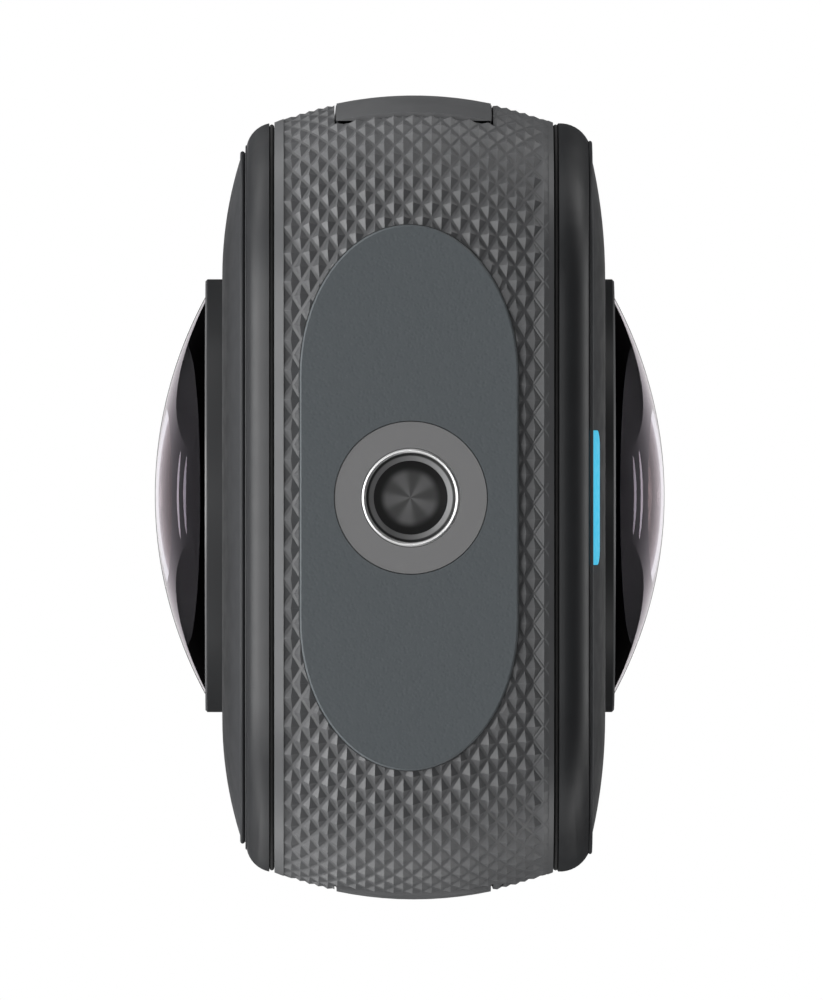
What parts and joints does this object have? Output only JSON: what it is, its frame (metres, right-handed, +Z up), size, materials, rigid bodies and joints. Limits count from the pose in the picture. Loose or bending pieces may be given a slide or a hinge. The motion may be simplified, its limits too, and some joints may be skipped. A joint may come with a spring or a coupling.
{
  "type": "360 degree camera",
  "caption": "Pocket camera with two back-to-back fisheye lenses in a knurled candybar body, with a side battery and a threaded foot.",
  "frame": {"origin": "middle of the foot's resting face, on the camera's middle plane", "axes": "+Z up along the camera's length, +X to the right as seen from the front, -Y the front with the screen and +Y the back"},
  "size_m": [0.0462, 0.0304, 0.113],
  "materials": {
    "frame_polymer": "semi-matt",
    "knurled_skin": "semi-matt, knurled",
    "shell": "anodised dark grey, fine satin",
    "cover": "fine satin",
    "base": "fine-grained matt",
    "thread_metal": "turned and lightly blasted",
    "screw_steel": "zinc-plated",
    "lens_ring": "anodised dark grey with a bright cut edge",
    "lens_glass": "polished, violet-coated",
    "inner_glass": "polished, green-coated",
    "barrel_black": "matt black",
    "seal_rubber": "matt",
    "sensor_chip": "gloss",
    "circuit_board": "solder mask",
    "chip_black": "matt",
    "bracket_metal": "satin",
    "shield_metal": "pressed sheet",
    "flex_film": "amber film",
    "screen_glass": "polished dark",
    "display": "gloss black",
    "button_polymer": "satin",
    "door_polymer": "fine satin",
    "latch_polymer": "satin",
    "battery_case": "wrapped in dark film",
    "bay_polymer": "matt",
    "contact_gold": "gold-plated",
    "port_metal": "nickel-plated",
    "card_polymer": "matt",
    "pin_steel": "ground",
    "light_lens": "clear, lit pale blue"
  },
  "bodies": {
    "camera": {"mid_frame": "frame_polymer", "grip_skin": "knurled_skin", "front_shell": "shell", "rear_shell": "shell", "front_cover": "cover", "rear_cover": "cover", "front_shell_seal": "seal_rubber", "rear_shell_seal": "seal_rubber", "shell_screws": "screw_steel", "base_plate": "base", "tripod_socket": "thread_metal", "socket_screws": "screw_steel", "front_lens_ring": "lens_ring", "rear_lens_ring": "lens_ring", "front_dome_lens": "lens_glass", "rear_dome_lens": "lens_glass", "front_dome_seal": "seal_rubber", "rear_dome_seal": "seal_rubber", "front_lens_barrel": "barrel_black", "rear_lens_barrel": "barrel_black", "front_inner_lens": "inner_glass", "rear_inner_lens": "inner_glass", "front_image_sensor": "sensor_chip", "rear_image_sensor": "sensor_chip", "front_sensor_board": "circuit_board", "rear_sensor_board": "circuit_board", "lens_bracket": "bracket_metal", "front_sensor_flex": "flex_film", "rear_sensor_flex": "flex_film", "touch_glass": "screen_glass", "display_panel": "display", "display_flex": "flex_film", "shutter_seal": "seal_rubber", "shutter_switch": "chip_black", "power_switch": "chip_black", "battery_bay": "bay_polymer", "battery_terminals": "contact_gold", "port_board": "circuit_board", "usb_socket": "port_metal", "card_socket": "port_metal", "inner_screws": "screw_steel", "main_board": "circuit_board", "board_chips": "chip_black", "shield_can": "shield_metal", "heat_spreader": "bracket_metal", "usb_hinge_pin": "pin_steel", "speaker": "chip_black", "microphones": "shield_metal", "status_light": "light_lens", "light_board": "circuit_board"},
    "shutter": {"shutter_button": "button_polymer"},
    "power": {"power_button": "button_polymer"},
    "port_door": {"usb_door": "door_polymer", "usb_door_gasket": "seal_rubber"},
    "battery": {"battery_door": "door_polymer", "battery_gasket": "seal_rubber", "battery_pack": "battery_case"},
    "latch_low": {"lower_latch": "latch_polymer"},
    "latch_high": {"upper_latch": "latch_polymer"},
    "card": {"memory_card": "card_polymer"}
  },
  "joints": [
    {"name": "shutter_press", "type": "slide", "parent": "camera", "child": "shutter", "axis": [0, 1, 0], "range_m": [0, 0.0004], "stiffness_N_per_m": 800, "springref_m": -0.0003},
    {"name": "power_press", "type": "slide", "parent": "camera", "child": "power", "axis": [-1, 0, 0], "range_m": [0, 0.0004], "stiffness_N_per_m": 800, "springref_m": -0.0003},
    {"name": "port_door_hinge", "type": "hinge", "parent": "camera", "child": "port_door", "pos_m": [0.0219, 0, 0.01045], "axis": [0, 1, 0], "range_deg": [0, 90]},
    {"name": "battery_slide", "type": "slide", "parent": "camera", "child": "battery", "axis": [-1, 0, 0], "range_m": [0, 0.038]},
    {"name": "latch_low_slide", "type": "slide", "parent": "battery", "child": "latch_low", "axis": [0, 0, -1], "range_m": [0, 0.0015]},
    {"name": "latch_high_slide", "type": "slide", "parent": "battery", "child": "latch_high", "axis": [0, 0, 1], "range_m": [0, 0.0015]},
    {"name": "card_eject", "type": "slide", "parent": "camera", "child": "card", "axis": [-1, 0, 0], "range_m": [0, 0.003]}
  ]
}
